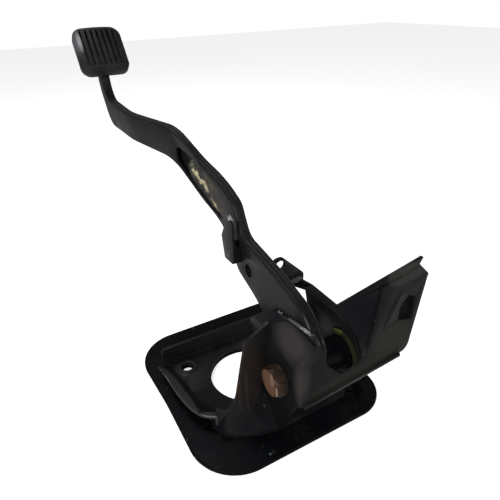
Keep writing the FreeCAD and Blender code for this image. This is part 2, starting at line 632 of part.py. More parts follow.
def make_side_hook():
    """Hook on the arm's near face: a block that carries a wall standing off the arm."""
    outline = [(33.0, 109.5, 1.5), (27.0, 120.0, 2.0), (20.0, 126.0, 2.0), (15.5, 126.0, 2.0),
               (15.5, 93.0, 2.0), (29.5, 92.5, 2.0)]
    body = slab(outline, on_yz(HOOK_OUTER_X), V(ARM_NEAR_X - HOOK_OUTER_X, 0, 0))
    gap_start = HOOK_OUTER_X + HOOK_WALL
    gap = Part.makeBox(ARM_NEAR_X - gap_start + 1.0, 60.0, 60.0, V(gap_start, 0.0, HOOK_BLOCK_TOP))
    return clean(body.cut(gap))


def pad_placement():
    """Placement of the pad's own axes: its face looks along its own +Z."""
    return FreeCAD.Placement(V(PAD_X, PAD_Y, PAD_Z), FreeCAD.Rotation(V(1, 0, 0), PAD_TILT))


def rounded_block(width, length, corner, low, high):
    """Block with rounded corners on the pad's own axes."""
    corners = [(-width / 2.0, -length / 2.0, corner), (width / 2.0, -length / 2.0, corner),
               (width / 2.0, length / 2.0, corner), (-width / 2.0, length / 2.0, corner)]
    return slab(corners, on_xy(low), V(0, 0, high - low))


def make_foot_plate():
    """Steel plate that the pad clips over."""
    width = PAD_WIDTH - 2.0 * FOOT_PLATE_BORDER
    length = PAD_LENGTH - 2.0 * FOOT_PLATE_BORDER
    plate = rounded_block(width, length, PAD_CORNER - FOOT_PLATE_BORDER, -FOOT_PLATE_BACK,
                          FOOT_PLATE_THICKNESS - FOOT_PLATE_BACK)
    plate.Placement = pad_placement()
    return plate


def pad_grooves():
    """Grooves between the ribs of the pad's face."""
    count = PAD_RIBS - 1
    grooves = []
    for index in range(count):
        x = (index - (count - 1) / 2.0) * RIB_PITCH
        grooves.append(Part.makeBox(GROOVE_WIDTH, GROOVE_TOP - GROOVE_BOTTOM, PAD_CROWN_RADIUS,
                                    V(x - GROOVE_WIDTH / 2.0, GROOVE_BOTTOM, -GROOVE_DEPTH)))
    return grooves[0].multiFuse(grooves[1:])


def make_rubber_pad():
    """Rubber pad crowned across its width, with ribs, wrapped round the edge of the foot plate."""
    crown = PAD_CROWN_RADIUS - math.sqrt(PAD_CROWN_RADIUS ** 2 - (PAD_WIDTH / 2.0) ** 2)
    body = rounded_block(PAD_WIDTH, PAD_LENGTH, PAD_CORNER, -PAD_THICKNESS, crown * 2.0)
    body = body.common(Part.makeCylinder(PAD_CROWN_RADIUS, 2.0 * PAD_LENGTH,
                                         V(0, -PAD_LENGTH, crown - PAD_CROWN_RADIUS), V(0, 1, 0)))
    top = [face for face in body.Faces if face.BoundBox.ZMin > -1.0 and face.BoundBox.ZMax > 1.0][0]
    body = body.makeChamfer(PAD_EDGE_BREAK, top.Edges)
    body = body.cut(pad_grooves())
    pocket_width = PAD_WIDTH - 2.0 * FOOT_PLATE_BORDER + 2.0 * PAD_POCKET_CLEARANCE
    pocket_length = PAD_LENGTH - 2.0 * FOOT_PLATE_BORDER + 2.0 * PAD_POCKET_CLEARANCE
    corner = PAD_CORNER - FOOT_PLATE_BORDER
    pocket = rounded_block(pocket_width, pocket_length, corner,
                           -PAD_COVER - FOOT_PLATE_THICKNESS - PAD_POCKET_CLEARANCE, -PAD_COVER)
    mouth = rounded_block(PAD_WIDTH - 2.0 * PAD_LIP, PAD_LENGTH - 2.0 * PAD_LIP, corner,
                          -PAD_THICKNESS - 1.0, -PAD_COVER - 1.0)
    body = body.cut(pocket).cut(mouth)
    body.Placement = pad_placement()
    return clean(body)


def build_parts():
    """Every piece by its name."""
    near_mouth, far_mouth = hub_ends()
    return {
        "base_plate": make_base_plate(),
        "mounting_bracket": make_mounting_bracket(),
        "cheek_doubler": make_cheek_doubler(),
        "far_cheek": make_far_cheek(),
        "side_panel": make_side_panel(),
        "pivot_bolt": make_pivot_bolt(),
        "bolt_washer": make_washer(CHEEK_NEAR_X - WASHER_THICKNESS),
        "nut_washer": make_washer(FAR_OUTER_X),
        "pivot_nut": make_pivot_nut(),
        "spacer_sleeve": make_spacer_sleeve(),
        "hub_tube": make_hub_tube(),
        "near_bush": make_bush(near_mouth, 1.0),
        "far_bush": make_bush(far_mouth, -1.0),
        "arm_near_shell": make_arm_near_shell(),
        "arm_far_shell": make_arm_far_shell(),
        "clevis_sleeve": make_clevis_sleeve(),
        "side_hook": make_side_hook(),
        "foot_plate": make_foot_plate(),
        "rubber_pad": make_rubber_pad(),
    }


os.makedirs("parts", exist_ok=True)
for name, shape in build_parts().items():
    shape.exportStep("parts/%s.step" % name)
    box = shape.BoundBox
    print("%-18s solids %d valid %s volume %.0f  x %.1f %.1f  y %.1f %.1f  z %.1f %.1f" % (
        name, len(shape.Solids), shape.isValid(), shape.Volume, box.XMin, box.XMax,
        box.YMin, box.YMax, box.ZMin, box.ZMax))
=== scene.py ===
"""Looks of a hanging brake pedal: dip-painted pressed steel, a rusted pivot bolt and a ribbed rubber pad."""

from __future__ import annotations

import logging
import math
from dataclasses import dataclass
from enum import Enum
from typing import ClassVar

import bpy
from mathutils import Matrix, Vector


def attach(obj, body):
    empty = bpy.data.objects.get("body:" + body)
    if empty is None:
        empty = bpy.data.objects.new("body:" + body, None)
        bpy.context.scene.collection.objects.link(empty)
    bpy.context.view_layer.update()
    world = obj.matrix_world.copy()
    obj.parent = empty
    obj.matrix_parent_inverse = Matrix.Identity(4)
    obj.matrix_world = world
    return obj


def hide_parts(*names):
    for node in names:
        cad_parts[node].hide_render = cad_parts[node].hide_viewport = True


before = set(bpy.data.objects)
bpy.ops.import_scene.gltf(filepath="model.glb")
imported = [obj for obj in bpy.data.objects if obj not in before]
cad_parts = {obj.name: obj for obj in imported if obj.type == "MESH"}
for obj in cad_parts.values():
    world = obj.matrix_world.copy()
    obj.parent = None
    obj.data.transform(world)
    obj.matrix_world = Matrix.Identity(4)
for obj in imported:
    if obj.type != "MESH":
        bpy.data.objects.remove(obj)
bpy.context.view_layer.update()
LOG = logging.getLogger("pedal")

MM = 0.001
MERGE_DISTANCE = 0.01 * MM
PIVOT_Y = -57.0
PIVOT_Z = 52.0

Triple = tuple[float, float, float]


class Body(Enum):
    """Rigid bodies of the pedal."""

    BRACKET = "bracket"
    PEDAL = "pedal"


class Slot(Enum):
    """Material slots."""

    PAINT = "black_paint"
    RUSTED = "rusted_steel"
    PLATED = "plated_steel"
    BUSH = "bush_plastic"
    RUBBER = "black_rubber"


class NodeDesk:
    """Adds and joins the nodes of one material or group."""

    def __init__(self, tree: bpy.types.NodeTree) -> None:
        """Keep the tree that the nodes go into."""
        self.tree = tree

    def add(self, kind: str, inputs: dict | None = None, **settings: object) -> bpy.types.Node:
        """Add one node.

        Args:
            kind: Node type without its ShaderNode prefix.
            inputs: Values or output sockets by input name or index.
            settings: Attributes of the node.

        Returns:
            The new node.
        """
        node = self.tree.nodes.new("ShaderNode" + kind)
        for name, value in settings.items():
            setattr(node, name, value)
        for key, value in (inputs or {}).items():
            if isinstance(value, bpy.types.NodeSocket):
                self.tree.links.new(value, node.inputs[key])
            else:
                node.inputs[key].default_value = value
        return node

    def math(self, operation: str, first: object, second: object = 0.0, clamp: bool = False) -> bpy.types.NodeSocket:
        """Join two values with a Math node and return its output."""
        node = self.add("Math", {0: first, 1: second}, operation=operation, use_clamp=clamp)
        return node.outputs[0]

    def vector(self, operation: str, first: object, second: object) -> bpy.types.NodeSocket:
        """Join two vectors with a Vector Math node and return its output."""
        node = self.add("VectorMath", {0: first, 1: second}, operation=operation)
        return node.outputs["Value" if operation == "LENGTH" else "Vector"]

    def remap(self, value: bpy.types.NodeSocket, low: object, high: object, start: float = 0.0,
              end: float = 1.0) -> bpy.types.NodeSocket:
        """Stretch a value smoothly between two limits.

        Args:
            value: Socket to stretch.
            low: Value that becomes start.
            high: Value that becomes end.
            start: Result at low.
            end: Result at high.

        Returns:
            The stretched value.
        """
        node = self.add("MapRange", {"Value": value, "From Min": low, "From Max": high, "To Min": start,
                                     "To Max": end}, interpolation_type="SMOOTHSTEP")
        return node.outputs["Result"]

    def noise(self, coordinates: object, scale: object, detail: float = 4.0,
              rough: float = 0.55) -> bpy.types.NodeSocket:
        """Read a noise value at the coordinates."""
        node = self.add("TexNoise", {"Vector": coordinates, "Scale": scale, "Detail": detail, "Roughness": rough})
        return node.outputs[0]

    def mix(self, mask: object, below: object, above: object) -> bpy.types.NodeSocket:
        """Mix two colours by a mask."""
        node = self.add("Mix", {0: mask, 6: below, 7: above}, data_type="RGBA")
        return node.outputs[2]


def new_group(name: str, inputs: dict[str, tuple[str, object]], outputs: dict[str, str]) -> tuple[
        bpy.types.NodeTree, NodeDesk, bpy.types.Node, bpy.types.Node]:
    """Start a shader node group.

    Args:
        name: Name of the group.
        inputs: Socket kind and default value by input name.
        outputs: Socket kind by output name.

    Returns:
        The group, its desk, and its input and output nodes.
    """
    group = bpy.data.node_groups.new(name, "ShaderNodeTree")
    for key, (kind, value) in inputs.items():
        socket = group.interface.new_socket(key, in_out="INPUT", socket_type="NodeSocket" + kind)
        socket.default_value = value
    for key, kind in outputs.items():
        group.interface.new_socket(key, in_out="OUTPUT", socket_type="NodeSocket" + kind)
    entry = group.nodes.new("NodeGroupInput")
    leave = group.nodes.new("NodeGroupOutput")
    return group, NodeDesk(group), entry, leave


class SurfaceEffects:
    """Shader node groups that the finishes share.

    The limits are the noise values between which a mask rises from 0 to 1.
    """

    CLOUD_LIMITS = (0.38, 0.68)
    THINNING_LIMITS = (0.45, 0.6)
    SPECK_LIMITS = (0.22, 0.1)
    SCRATCH_LIMITS = (0.69, 0.74)
    SCRATCH_LAYS = ((0.6, (1.0, 14.0, 1.0)), (-0.9, (12.0, 1.0, 1.4)), (2.2, (1.0, 1.2, 16.0)))
    PEEL_SCALE = 700.0
    RAGGED_REACH = 4.0

    def __init__(self) -> None:
        """Build every group once."""
        self.ageing = self.build_ageing()
        self.patch = self.build_patch()

    def build_ageing(self) -> bpy.types.NodeTree:
        """Clouds of grime, specks, fine scratches and an orange-peel height.

        Returns:
            The group.
        """
        group, desk, entry, leave = new_group(
            "Ageing", {"Coordinates": ("Vector", (0, 0, 0)), "Cloud Scale": ("Float", 30.0),
                       "Speck Scale": ("Float", 500.0), "Scratch Scale": ("Float", 90.0)},
            {"Clouds": "Float", "Specks": "Float", "Scratches": "Float", "Peel": "Float"})
        where = entry.outputs["Coordinates"]
        clouds = desk.remap(desk.noise(where, entry.outputs["Cloud Scale"], 6.0, 0.6), *self.CLOUD_LIMITS)
        cells = desk.add("TexVoronoi", {"Vector": where, "Scale": entry.outputs["Speck Scale"]})
        thin = desk.remap(desk.noise(where, entry.outputs["Cloud Scale"], 2.0), *self.THINNING_LIMITS)
        specks = desk.math("MULTIPLY", desk.remap(cells.outputs["Distance"], *self.SPECK_LIMITS), thin)
        scratches = None
        for turn, stretch in self.SCRATCH_LAYS:
            lay = desk.add("Mapping", {"Vector": where, "Rotation": (turn, turn * 0.7, turn * 1.3),
                                       "Scale": stretch})
            grain = desk.noise(lay.outputs[0], entry.outputs["Scratch Scale"], 2.0)
            line = desk.remap(grain, *self.SCRATCH_LIMITS)
            scratches = line if scratches is None else desk.math("MAXIMUM", scratches, line)
        peel = desk.noise(where, self.PEEL_SCALE, 2.0)
        for name, socket in (("Clouds", clouds), ("Specks", specks), ("Scratches", scratches), ("Peel", peel)):
            desk.tree.links.new(socket, leave.inputs[name])
        return group

    def build_patch(self) -> bpy.types.NodeTree:
        """Ragged oval patch round a point.

        Returns:
            The group.
        """
        group, desk, entry, leave = new_group(
            "Ragged Patch", {"Coordinates": ("Vector", (0, 0, 0)), "Centre": ("Vector", (0, 0, 0)),
                             "Reach": ("Vector", (0.01, 0.01, 0.01)), "Turn": ("Vector", (0, 0, 0)),
                             "Ragged": ("Float", 0.6), "Grain": ("Float", 300.0), "Soft": ("Float", 0.28)},
            {"Mask": "Float"})
        offset = desk.vector("SUBTRACT", entry.outputs["Coordinates"], entry.outputs["Centre"])
        turned = desk.add("VectorRotate", {"Vector": offset, "Rotation": entry.outputs["Turn"]},
                          rotation_type="EULER_XYZ", invert=True)
        near = desk.vector("DIVIDE", turned.outputs[0], entry.outputs["Reach"])
        distance = desk.vector("LENGTH", near, (0, 0, 0))
        grain = desk.noise(entry.outputs["Coordinates"], entry.outputs["Grain"], 5.0, 0.65)
        rough = desk.math("MULTIPLY", desk.math("SUBTRACT", grain, 0.5), entry.outputs["Ragged"])
        edge = desk.math("ADD", distance, desk.math("MULTIPLY", rough, self.RAGGED_REACH))
        inside = desk.math("SUBTRACT", 1.0, entry.outputs["Soft"])
        desk.tree.links.new(desk.remap(edge, 1.0, inside), leave.inputs["Mask"])
        return group


@dataclass(frozen=True)
class Mark:
    """A stain, scuff or scratch at one place.

    Attributes:
        centre: Middle of the mark, in millimetres.
        reach: Half axes of its oval, in millimetres.
        colour: Colour, linear.
        strength: Cover at its middle, from 0 to 1.
        ragged: How far noise moves its edge.
        grain: Scale of that noise.
        turn: Turn of the oval, in radians.
        roughness: Roughness of the mark.
        soft: Width of its edge as a share of the oval.
    """

    centre: Triple
    reach: Triple
    colour: Triple
    strength: float = 0.8
    ragged: float = 0.6
    grain: float = 300.0
    turn: Triple = (0.0, 0.0, 0.0)
    roughness: float = 0.7
    soft: float = 0.28


@dataclass(frozen=True)
class SurfaceFinish:
    """One finish: its colours, gloss, ageing and marks.

    Attributes:
        name: Name of the material.
        colour: Main colour, linear.
        second: Colour of the grime clouds.
        speck: Colour of the specks.
        bare: Colour inside the scratches.
        roughness: Roughness where the finish is clean.
        roughness_spread: What the grime adds to it.
        metallic: Metallic value.
        wear: Cover of the scratches, from 0 to 1.
        clouds: Cover of the grime, from 0 to 1.
        specks: Cover of the specks, from 0 to 1.
        cloud_scale: Scale of the grime's noise.
        speck_scale: Scale of the specks.
        scratch_scale: Scale of the scratches' noise.
        peel: Height of the orange peel, in metres.
        specular: Specular level.
        marks: Marks, each laid over the ones before it.
    """

    name: str
    colour: Triple
    second: Triple
    speck: Triple
    bare: Triple
    roughness: float
    roughness_spread: float
    metallic: float = 0.0
    wear: float = 0.2
    clouds: float = 0.5
    specks: float = 0.3
    cloud_scale: float = 30.0
    speck_scale: float = 500.0
    scratch_scale: float = 90.0
    peel: float = 0.00004
    specular: float = 0.5
    marks: tuple[Mark, ...] = ()

    SCRATCH_DEPTH: ClassVar[float] = 0.6

    def material(self, effects: SurfaceEffects) -> bpy.types.Material:
        """Build the material.

        Args:
            effects: The shared node groups.

        Returns:
            The material.
        """
        paint = bpy.data.materials.new(self.name)
        paint.use_nodes = True
        paint.node_tree.nodes.clear()
        desk = NodeDesk(paint.node_tree)
        where = desk.add("TexCoord").outputs["Object"]
        age = desk.add("Group", node_tree=effects.ageing)
        desk.tree.links.new(where, age.inputs["Coordinates"])
        age.inputs["Cloud Scale"].default_value = self.cloud_scale
        age.inputs["Speck Scale"].default_value = self.speck_scale
        age.inputs["Scratch Scale"].default_value = self.scratch_scale
        clouds = desk.math("MULTIPLY", age.outputs["Clouds"], self.clouds)
        colour = desk.mix(clouds, (*self.colour, 1), (*self.second, 1))
        colour = desk.mix(desk.math("MULTIPLY", age.outputs["Specks"], self.specks), colour, (*self.speck, 1))
        worn = desk.math("MULTIPLY", age.outputs["Scratches"], self.wear)
        colour = desk.mix(worn, colour, (*self.bare, 1))
        rough = desk.math("ADD", desk.math("MULTIPLY", age.outputs["Clouds"], self.roughness_spread),
                          self.roughness)
        cuts = desk.math("MULTIPLY", age.outputs["Scratches"], self.SCRATCH_DEPTH)
        height = desk.math("SUBTRACT", age.outputs["Peel"], cuts)
        for mark in self.marks:
            patch = desk.add("Group", node_tree=effects.patch)
            desk.tree.links.new(where, patch.inputs["Coordinates"])
            patch.inputs["Centre"].default_value = Vector(mark.centre) * MM
            patch.inputs["Reach"].default_value = Vector(mark.reach) * MM
            patch.inputs["Turn"].default_value = mark.turn
            patch.inputs["Ragged"].default_value = mark.ragged
            patch.inputs["Grain"].default_value = mark.grain
            patch.inputs["Soft"].default_value = mark.soft
            mask = desk.math("MULTIPLY", patch.outputs["Mask"], mark.strength)
            colour = desk.mix(mask, colour, (*mark.colour, 1))
            rough = desk.add("Mix", {0: mask, 2: rough, 3: mark.roughness}).outputs[0]
        bump = desk.add("Bump", {"Height": height, "Distance": self.peel, "Strength": 1.0})
        shader = desk.add("BsdfPrincipled", {
            "Base Color": colour, "Roughness": rough, "Metallic": self.metallic, "Normal": bump.outputs[0],
            "Specular IOR Level": self.specular})
        out = desk.add("OutputMaterial")
        desk.tree.links.new(shader.outputs[0], out.inputs[0])
        return paint


def dipped_paint(name: str, marks: tuple[Mark, ...] = (), **changes: object) -> SurfaceFinish:
    """Satin black dip paint with grime, specks and fine scratches.

    Args:
        name: Name of the material.
        marks: Marks on the piece.
        changes: Values that differ from the usual paint.

    Returns:
        The finish.
    """
    values: dict[str, object] = dict(
        colour=(0.0085, 0.0090, 0.0112), second=(0.0180, 0.0172, 0.0172), speck=(0.070, 0.065, 0.055),
        bare=(0.085, 0.083, 0.080), roughness=0.30, roughness_spread=0.16, wear=0.35, clouds=0.75,
        specks=0.35, specular=0.15)
    values.update(changes)
    return SurfaceFinish(name=name, marks=marks, **values)


def deselect_all() -> None:
    """Leave object mode with nothing selected."""
    if bpy.context.object and bpy.context.object.mode != "OBJECT":
        bpy.ops.object.mode_set(mode="OBJECT")
    bpy.ops.object.select_all(action="DESELECT")


def pick(piece: bpy.types.Object) -> None:
    """Select one object alone and make it active."""
    deselect_all()
    piece.select_set(True)
    bpy.context.view_layer.objects.active = piece


def apply_modifiers(piece: bpy.types.Object) -> None:
    """Apply every modifier of the piece in order."""
    pick(piece)
    for modifier in list(piece.modifiers):
        bpy.ops.object.modifier_apply(modifier=modifier.name)


def settle(piece: bpy.types.Object) -> None:
    """Put the place of a piece into its mesh."""
    pick(piece)
    bpy.ops.object.transform_apply(location=True, rotation=True, scale=True)


def softened_copy(node: str, name: str, round_mm: float, segments: int = 2, angle: float = 34.0,
                  smooth: float = 32.0) -> bpy.types.Object:
    """Copy a node's mesh and round its edges as pressing and dipping do.

    Args:
        node: Node to copy.
        name: Name of the new piece.
        round_mm: Width of the rounding.
        segments: Steps of the rounding.
        angle: Least angle of an edge that is rounded, in degrees.
        smooth: Greatest angle that is shaded smooth, in degrees.

    Returns:
        The new piece, which replaces the node.
    """
    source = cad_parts[node]
    piece = source.copy()
    piece.data = source.data.copy()
    piece.name = name
    piece.data.name = name
    bpy.context.scene.collection.objects.link(piece)
    piece.data.materials.clear()
    pick(piece)
    bpy.ops.object.mode_set(mode="EDIT")
    bpy.ops.mesh.select_all(action="SELECT")
    bpy.ops.mesh.remove_doubles(threshold=MERGE_DISTANCE)
    bpy.ops.object.mode_set(mode="OBJECT")
    bpy.ops.mesh.customdata_custom_splitnormals_clear()
    round_edges(piece, round_mm, segments, angle)
    pick(piece)
    bpy.ops.object.shade_smooth_by_angle(angle=math.radians(smooth))
    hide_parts(node)
    return piece


def round_edges(piece: bpy.types.Object, round_mm: float, segments: int, angle: float) -> None:
    """Round the sharp edges of a piece, and give the rounding its second material.

    A sharp corner would stand out past the piece by the rounding, so it is
    brought back to the box that the piece had before.

    Args:
        piece: Piece to round.
        round_mm: Width of the rounding.
        segments: Steps of the rounding.
        angle: Least angle of an edge that is rounded, in degrees.
    """
    rounding = piece.modifiers.new("rounding", "BEVEL")
    rounding.width = round_mm * MM
    rounding.segments = segments
    rounding.limit_method = "ANGLE"
    rounding.angle_limit = math.radians(angle)
    rounding.use_clamp_overlap = False
    rounding.miter_outer = "MITER_ARC"
    rounding.material = 1
    rounding.harden_normals = False
    low = [min(vertex.co[axis] for vertex in piece.data.vertices) for axis in range(3)]
    high = [max(vertex.co[axis] for vertex in piece.data.vertices) for axis in range(3)]
    apply_modifiers(piece)
    for vertex in piece.data.vertices:
        for axis in range(3):
            vertex.co[axis] = min(max(vertex.co[axis], low[axis]), high[axis])


def dress(piece: bpy.types.Object, slot: Slot, *materials: bpy.types.Material) -> None:
    """Give a new piece its materials."""
    for material in materials:
        piece.data.materials.append(material)


@dataclass
class PressedBracket:
    """Base plate, tray, cheeks and wing, all dip-painted steel."""

    effects: SurfaceEffects
    edge_round: float = 0.35
    worn_edge: float = 0.9

    def paints(self) -> dict[str, SurfaceFinish]:
        """Finish of each pressing with its own marks."""
        lip_grey = (0.24, 0.24, 0.235)
        painted_lit_grey = (0.058, 0.061, 0.061)
        rust_brown = (0.024, 0.0155, 0.0125)
        rust_streak = (0.060, 0.038, 0.026)
        dust = (0.055, 0.052, 0.050)
        pale = (0.45, 0.45, 0.44)
        lip_slope = (0.0, -0.094, 0.0)
        doubler_slope = (-0.157, 0.0, 0.0)
        return {
            "base_plate": dipped_paint("base_plate_paint", (
                # shade in the recess, a scuff and a chip at the front edge
                Mark((62.0, -55.0, 0.8), (10.0, 10.0, 1.5), (0.0008, 0.0008, 0.0010), 0.9, 0.1, 60.0),
                Mark((47.5, -64.0, 3.0), (7.0, 0.6, 2.0), (0.012, 0.012, 0.012), 0.6, 0.3, 200.0, (0.0, 0.0, -0.5)),
                Mark((-20.6, -68.4, 3.0), (1.0, 1.0, 1.0), (0.10, 0.11, 0.12), 0.8, 0.2),
            ), colour=(0.0028, 0.0034, 0.0046), second=(0.0060, 0.0063, 0.0072), specular=0.05,
                roughness=0.42),
            "mounting_bracket": dipped_paint("tray_paint", (
                # rust and dust on the flange
                Mark((-20.0, -40.0, 46.0), (13.0, 5.0, 32.0), rust_brown, 0.8, 0.25, 50.0),
                Mark((-26.5, -39.5, 34.0), (1.6, 3.0, 26.0), rust_streak, 0.35, 0.3, 120.0),
                Mark((-21.0, -41.0, 30.0), (1.2, 5.0, 22.0), dust, 0.35, 0.3, 120.0),
                # warm grime on the back wall
                Mark((2.0, 43.0, 12.0), (56.0, 4.5, 9.0), (0.0145, 0.0100, 0.0115), 0.7, 0.2, 50.0),
                # the slanted lip, painted lighter on its face where it faces the light, and rubbed pale along its
                # edge
                Mark((-54.5, -2.0, 12.0), (8.0, 38.0, 5.6), painted_lit_grey, 0.9, 0.15, 80.0),
                Mark((-44.0, -30.0, 12.0), (12.0, 8.0, 5.6), painted_lit_grey, 0.9, 0.15, 80.0),
                Mark((-59.0, 4.0, 13.8), (1.4, 26.0, 0.9), lip_grey, 0.8, 0.6, 320.0),
                Mark((-54.5, -20.0, 13.8), (1.6, 10.0, 0.9), lip_grey, 0.8, 0.6, 320.0, (0.0, 0.0, 0.35)),
                Mark((-44.0, -31.0, 13.8), (7.0, 1.6, 0.9), lip_grey, 0.8, 0.6, 320.0, (0.0, 0.0, -0.6)),
                # bright nick at the foot of the flange
                Mark((-10.5, -42.0, 14.0), (0.5, 3.0, 4.0), pale, 0.9, 0.2, 500.0),
            )),
            "side_panel": dipped_paint("side_panel_paint", (
                # painted light on the upper part of the cheek and on its fold, dark below
                Mark((0.0, -60.0, 81.0), (13.0, 24.0, 13.0), (0.049, 0.042, 0.043), 0.9, 0.1, 60.0, soft=0.7),
                Mark((-5.0, -77.0, 64.0), (9.0, 9.0, 22.0), (0.049, 0.042, 0.042), 0.9, 0.1, 60.0, soft=0.85),
                Mark((-6.0, -56.0, 50.0), (3.0, 20.0, 18.0), (0.0075, 0.0055, 0.0058), 0.8, 0.2, 60.0, soft=0.7),
                # painted olive sheen low on the wing, painted shade in the window and on the upper wing
                Mark((64.0, -77.0, 68.0), (24.0, 4.0, 18.0), (0.034, 0.036, 0.026), 0.75, 0.15, 60.0, soft=0.6),
                Mark((72.6, -74.6, 88.0), (8.5, 1.2, 12.0), (0.003, 0.003, 0.004), 0.95, 0.05, 60.0),
                Mark((30.0, -77.0, 94.0), (24.0, 3.0, 28.0), (0.0032, 0.0038, 0.0062), 0.85, 0.15, 45.0, soft=0.6),
                Mark((58.0, -78.0, 92.0), (5.0, 3.0, 22.0), (0.0030, 0.0036, 0.0058), 0.8, 0.1, 45.0,
                     (0.0, 0.35, 0.0), soft=0.6),
                # painted highlight on the wing's upper lip; painted light along its lower lip, which is also worn
                Mark((68.0, -77.5, 115.0), (20.0, 4.0, 8.0), (0.050, 0.050, 0.045), 0.75, 0.3, 60.0),
                Mark((34.0, -77.0, 52.0), (50.0, 6.0, 9.0), (0.034, 0.036, 0.030), 0.7, 0.2, 60.0, lip_slope,
                     soft=0.8),
                Mark((34.0, -79.0, 47.5), (46.0, 3.0, 2.6), (0.11, 0.11, 0.10), 0.8, 0.15, 80.0, lip_slope, soft=0.7),
            ), colour=(0.0062, 0.0068, 0.0070), second=(0.0130, 0.0130, 0.0120), specular=0.08),
            "cheek_doubler": dipped_paint("doubler_paint", (
                # painted highlight along the upper edge, with painted glints at its ends
                Mark((5.0, -53.0, 88.4), (3.0, 21.0, 0.7), (0.15, 0.15, 0.155), 0.8, 0.4, 420.0, doubler_slope),
                Mark((5.0, -37.0, 85.9), (2.6, 5.0, 0.9), pale, 0.8, 0.5, 420.0, doubler_slope),
                Mark((5.0, -65.0, 90.3), (2.6, 5.0, 0.6), pale, 0.55, 0.7, 420.0, doubler_slope),
            )),
            "far_cheek": dipped_paint("far_cheek_paint", (
                # bare rim and dusty face of the switch tab
                Mark((39.0, -5.0, 79.0), (7.0, 3.0, 2.6), (0.28, 0.28, 0.26), 0.8, 0.3, 200.0),
                Mark((33.0, -5.0, 92.0), (12.0, 3.0, 10.0), (0.085, 0.087, 0.082), 0.7, 0.3, 60.0),
            )),
        }

    def build(self) -> list[bpy.types.Object]:
        """Make the softened pressings.

        Returns:
            The pieces.
        """
        pieces = []
        for node, finish in self.paints().items():
            piece = softened_copy(node, node + "_skin", self.edge_round)
            worn = dipped_paint(finish.name + "_edge", finish.marks, wear=self.worn_edge, clouds=0.9,
                                second=(0.05, 0.05, 0.05), bare=(0.16, 0.155, 0.15))
            dress(piece, Slot.PAINT, finish.material(self.effects), worn.material(self.effects))
            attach(piece, Body.BRACKET.value)
            pieces.append(piece)
        return pieces


@dataclass
class PivotHardware:
    """Bolt, washers, nut, sleeve and bushes."""

    effects: SurfaceEffects

    def rust(self) -> SurfaceFinish:
        """Rust-brown steel, its head's face painted lighter, with painted highlights."""
        return SurfaceFinish("bolt_rust", (0.040, 0.022, 0.013), (0.075, 0.043, 0.027), (0.03, 0.016, 0.010),
                             (0.30, 0.20, 0.14), 0.38, 0.2, metallic=0.5, wear=0.4, clouds=0.8, specks=0.6,
                             cloud_scale=160.0, speck_scale=900.0, scratch_scale=240.0, peel=0.00003, marks=(
                                 # orange rust on the head's face, painted lighter than its sides as if lit, with two
                                 # painted highlight streaks
                                 Mark((-14.6, -57.0, 52.0), (0.7, 10.5, 10.5), (0.19, 0.095, 0.052), 0.85, 0.4,
                                      160.0),
                                 Mark((-14.6, -60.0, 57.0), (0.8, 2.4, 7.0), (0.33, 0.20, 0.135), 0.7, 0.6, 300.0),
                                 Mark((-14.3, -65.4, 50.0), (0.9, 0.9, 7.0), (0.44, 0.31, 0.23), 0.8, 0.3, 300.0)))

    def plated(self) -> SurfaceFinish:
        """Dull plated steel."""
        return SurfaceFinish("dull_plating", (0.30, 0.29, 0.26), (0.16, 0.14, 0.12), (0.10, 0.06, 0.035),
                             (0.5, 0.5, 0.48), 0.36, 0.25, metallic=0.85, wear=0.3, clouds=0.7, specks=0.5,
                             cloud_scale=120.0, speck_scale=700.0)

    def nylon(self) -> SurfaceFinish:
        """Yellow-green nylon, greasy."""
        return SurfaceFinish("bush_nylon", (0.038, 0.038, 0.017), (0.022, 0.022, 0.012), (0.02, 0.018, 0.012),
                             (0.25, 0.24, 0.12), 0.35, 0.2, wear=0.1, clouds=0.8, specks=0.4, cloud_scale=90.0,
                             specular=0.2, marks=(
                                 # lighter stretch at the top of the flange
                                 Mark((41.0, -51.5, 66.5), (5.0, 6.0, 4.0), (0.16, 0.18, 0.042), 0.9, 0.3),))

    def build(self) -> list[bpy.types.Object]:
        """Round the bolt head's edges and dress the rest of the hardware.

        Returns:
            The pieces.
        """
        rust = self.rust().material(self.effects)
        plated = self.plated().material(self.effects)
        nylon = self.nylon().material(self.effects)
        bolt = softened_copy("pivot_bolt", "pivot_bolt_worn", 0.15, 2, 20.0, smooth=16.0)
        dress(bolt, Slot.RUSTED, rust)
        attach(bolt, Body.BRACKET.value)
        dark = dipped_paint("washer_paint", clouds=0.9, second=(0.030, 0.022, 0.018)).material(self.effects)
        washer = softened_copy("bolt_washer", "bolt_washer_worn", 0.3)
        dress(washer, Slot.RUSTED, dark)
        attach(washer, Body.BRACKET.value)
        for node, material in (("nut_washer", plated), ("pivot_nut", plated), ("spacer_sleeve", plated),
                               ("clevis_sleeve", dark), ("near_bush", nylon), ("far_bush", nylon)):
            refinish(node, material)
        return [bolt, washer]


def refinish(node: str, material: bpy.types.Material) -> None:
    """Give a node that stays a better material in each of its slots."""
    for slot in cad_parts[node].material_slots:
        slot.material = material


